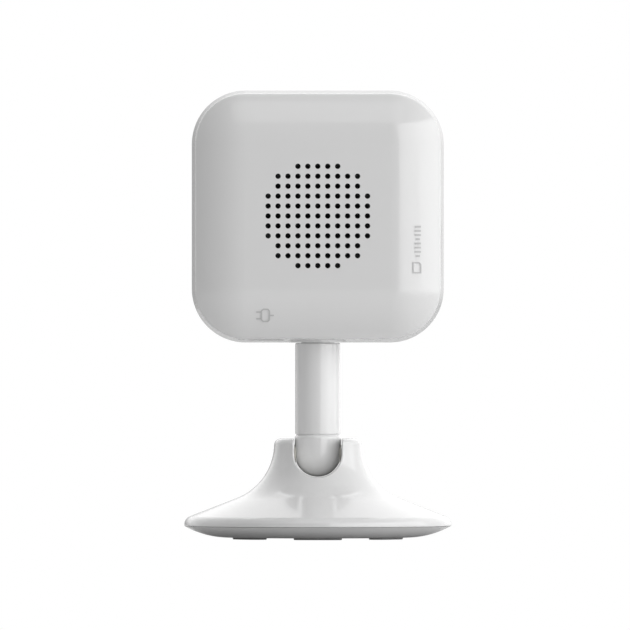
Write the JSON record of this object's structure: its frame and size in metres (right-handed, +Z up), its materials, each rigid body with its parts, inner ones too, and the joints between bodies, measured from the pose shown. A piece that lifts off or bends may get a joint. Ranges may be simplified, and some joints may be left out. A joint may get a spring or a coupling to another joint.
{
  "type": "security camera",
  "caption": "Square-headed indoor camera on a short stem that folds in a flared round magnetic base, with a speaker grille in its back.",
  "frame": {"origin": "bottom centre of the base, on the surface that the feet stand on", "axes": "+Z up along the upright stem; the lens faces -Y and the speaker grille faces +Y; +X is the power inlet's side"},
  "size_m": [0.064, 0.064, 0.1076],
  "materials": {
    "white_shell": "polished white moulded plastic",
    "white_stem": "polished white moulded plastic",
    "window_black": "dark infrared-passing acrylic",
    "trim_black": "glossy black plastic",
    "lens_glass": "coated optical glass",
    "barrel_black": "matt black",
    "inner_plastic": "matt black moulding",
    "yoke_plastic": "glass-filled nylon, white",
    "steel": "zinc-plated steel",
    "magnet": "nickel-plated magnet",
    "rubber_grey": "soft silicone rubber",
    "rubber_black": "silicone rubber",
    "washer_nylon": "natural nylon",
    "board_green": "solder-masked board",
    "board_black": "black solder-masked board",
    "chip_black": "moulded package",
    "sensor": "sensor cover glass",
    "led_clear": "clear lensed package",
    "aluminium": "extruded aluminium",
    "pad_grey": "thermal pad",
    "cone_paper": "coated paper cone",
    "foam_black": "foam gasket",
    "connector_white": "nylon connector",
    "brass": "gold-plated brass",
    "cable_black": "insulated lead",
    "switch_black": "switch body",
    "button_grey": "acetal plunger",
    "flex_orange": "polyimide flex"
  },
  "bodies": {
    "base": {"base_shell": "white_shell", "hinge_yoke": "yoke_plastic", "yoke_screws": "steel", "tilt_pin": "steel", "tilt_nut": "steel", "tilt_washers": "washer_nylon", "base_plate": "white_shell", "base_screws": "steel", "base_feet": "rubber_grey", "base_magnet": "magnet", "base_weight": "steel"},
    "stem": {"tilt_knuckle": "white_stem", "stem_tube": "white_stem", "swivel_washer": "washer_nylon", "swivel_plate": "steel", "swivel_screw": "steel"},
    "head": {"rear_housing": "white_shell", "front_housing": "white_shell", "front_window": "window_black", "lens_trim_ring": "trim_black", "lens_cover_glass": "lens_glass", "lens_elements": "lens_glass", "lens_barrel": "barrel_black", "lens_holder": "inner_plastic", "filter_changer": "inner_plastic", "image_sensor": "sensor", "main_board": "board_green", "board_screws": "steel", "board_chips": "chip_black", "thermal_pad": "pad_grey", "heat_spreader": "aluminium", "shield_can": "steel", "led_board": "board_black", "led_board_screws": "steel", "infrared_leds": "led_clear", "light_sensor": "led_clear", "status_led": "led_clear", "microphone": "steel", "microphone_boot": "rubber_black", "speaker_gasket": "foam_black", "speaker_frame": "inner_plastic", "speaker_cone": "cone_paper", "speaker_magnet": "magnet", "speaker_socket": "connector_white", "speaker_leads": "cable_black", "usb_receptacle": "steel", "card_socket": "steel", "reset_switch": "switch_black", "wifi_antenna": "flex_orange", "antenna_plug": "brass", "antenna_lead": "cable_black"},
    "reset_plunger": {"reset_button": "button_grey"},
    "ejector": {"card_ejector": "inner_plastic"},
    "filter": {"filter_slider": "inner_plastic", "filter_panes": "lens_glass"}
  },
  "joints": [
    {"name": "stem_tilt", "type": "hinge", "parent": "base", "child": "stem", "pos_m": [0, 0, 0.0205], "axis": [1, 0, 0], "range_deg": [-90, 90]},
    {"name": "head_swivel", "type": "hinge", "parent": "stem", "child": "head", "pos_m": [0, 0, 0.0471], "axis": [0, 0, 1], "range_deg": [-170, 170]},
    {"name": "reset_press", "type": "slide", "parent": "head", "child": "reset_plunger", "axis": [0, 0, 1], "range_m": [0, 0.0004], "stiffness_N_per_m": 800, "springref_m": -0.0005},
    {"name": "card_eject", "type": "slide", "parent": "head", "child": "ejector", "axis": [1, 0, 0], "range_m": [0, 0.001], "stiffness_N_per_m": 300, "springref_m": -0.001},
    {"name": "filter_slide", "type": "slide", "parent": "head", "child": "filter", "axis": [1, 0, 0], "range_m": [0, 0.005]}
  ]
}
